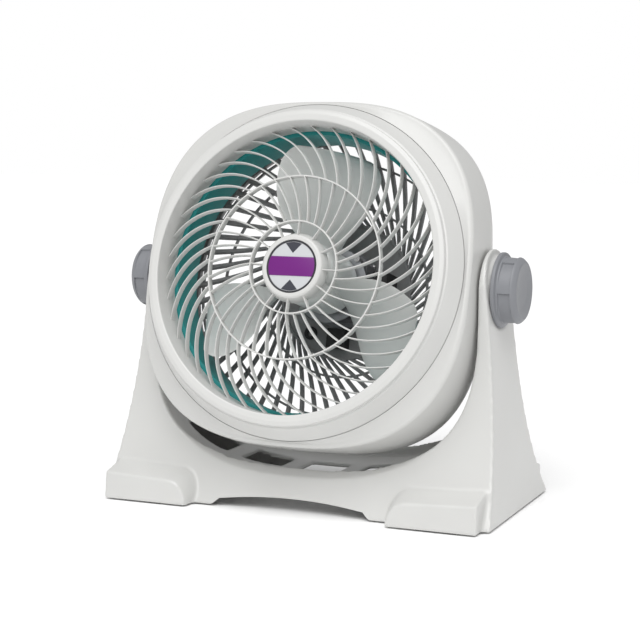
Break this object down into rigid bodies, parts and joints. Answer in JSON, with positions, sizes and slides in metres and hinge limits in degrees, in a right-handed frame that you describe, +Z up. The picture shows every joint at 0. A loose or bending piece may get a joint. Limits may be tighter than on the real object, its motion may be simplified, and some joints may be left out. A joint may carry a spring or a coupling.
{
  "type": "pivoting floor fan",
  "caption": "Round-grille fan in a rounded-square head that tilts between the two arms of a hollow stand and is clamped by side knobs.",
  "frame": {"origin": "on the floor, under the middle of the whole fan's bounding box, with the head tilted back at its rest angle", "axes": "+Z is up, the fan blows towards -Y, and +X is to the right seen from the front, along the tilt axis"},
  "size_m": [0.4046, 0.2282, 0.3874],
  "materials": {
    "shell": "satin",
    "grille": "satin",
    "charcoal": "matte",
    "teal": "satin",
    "blade": "satin",
    "knob": "satin",
    "badge": "gloss",
    "rubber": "matte",
    "black": "matte",
    "steel": "satin",
    "zinc": "satin",
    "lamination": "satin",
    "copper": "satin",
    "brass": "satin"
  },
  "bodies": {
    "stand": {"stand_shell": "shell", "rubber_foot_front_left": "rubber", "rubber_foot_front_right": "rubber", "rubber_foot_rear_left": "rubber", "rubber_foot_rear_right": "rubber"},
    "head": {"head_housing": "shell", "front_grille": "grille", "hub_badge": "badge", "duct_ring": "teal", "rear_grille": "charcoal", "grille_screw_1": "steel", "motor_bolt_1": "steel", "grille_screw_2": "steel", "motor_bolt_2": "steel", "grille_screw_3": "steel", "motor_bolt_3": "steel", "grille_screw_4": "steel", "motor_bolt_4": "steel", "mount_screw_1": "steel", "mount_screw_2": "steel", "mount_screw_3": "steel", "pivot_insert_left": "brass", "friction_washer_left": "rubber", "pivot_insert_right": "brass", "friction_washer_right": "rubber", "stator_core": "lamination", "winding_rear": "copper", "motor_bracket_rear": "zinc", "bush_rear": "brass", "winding_front": "copper", "motor_bracket_front": "zinc", "bush_front": "brass", "run_capacitor": "black", "speed_switch": "black", "switch_nut": "steel", "cord_gland": "black"},
    "rotor": {"motor_shaft": "steel", "rotor_core": "lamination", "blade_wheel": "blade", "blade_nut": "knob"},
    "left_knob": {"clamp_knob_left": "knob", "knob_bolt_left": "steel"},
    "right_knob": {"clamp_knob_right": "knob", "knob_bolt_right": "steel"},
    "dial": {"speed_dial": "black"}
  },
  "joints": [
    {"name": "head_tilt", "type": "hinge", "parent": "stand", "child": "head", "pos_m": [0, 0.00868, 0.21212], "axis": [-1, 0, 0], "range_deg": [-25.7, 74.3]},
    {"name": "fan_spin", "type": "hinge", "parent": "head", "child": "rotor", "pos_m": [0, 0.00868, 0.21212], "axis": [0, 0.9627, -0.2706], "continuous": true},
    {"name": "knob_left_turn", "type": "hinge", "parent": "head", "child": "left_knob", "pos_m": [-0.19, 0.00868, 0.21212], "axis": [-1, 0, 0], "range_deg": [0, 180]},
    {"name": "knob_right_turn", "type": "hinge", "parent": "head", "child": "right_knob", "pos_m": [0.19, 0.00868, 0.21212], "axis": [1, 0, 0], "range_deg": [0, 180]},
    {"name": "speed_dial_turn", "type": "hinge", "parent": "head", "child": "dial", "pos_m": [0, 0.05896, 0.14709], "axis": [0, -0.9627, 0.2706], "range_deg": [0, 135]}
  ]
}
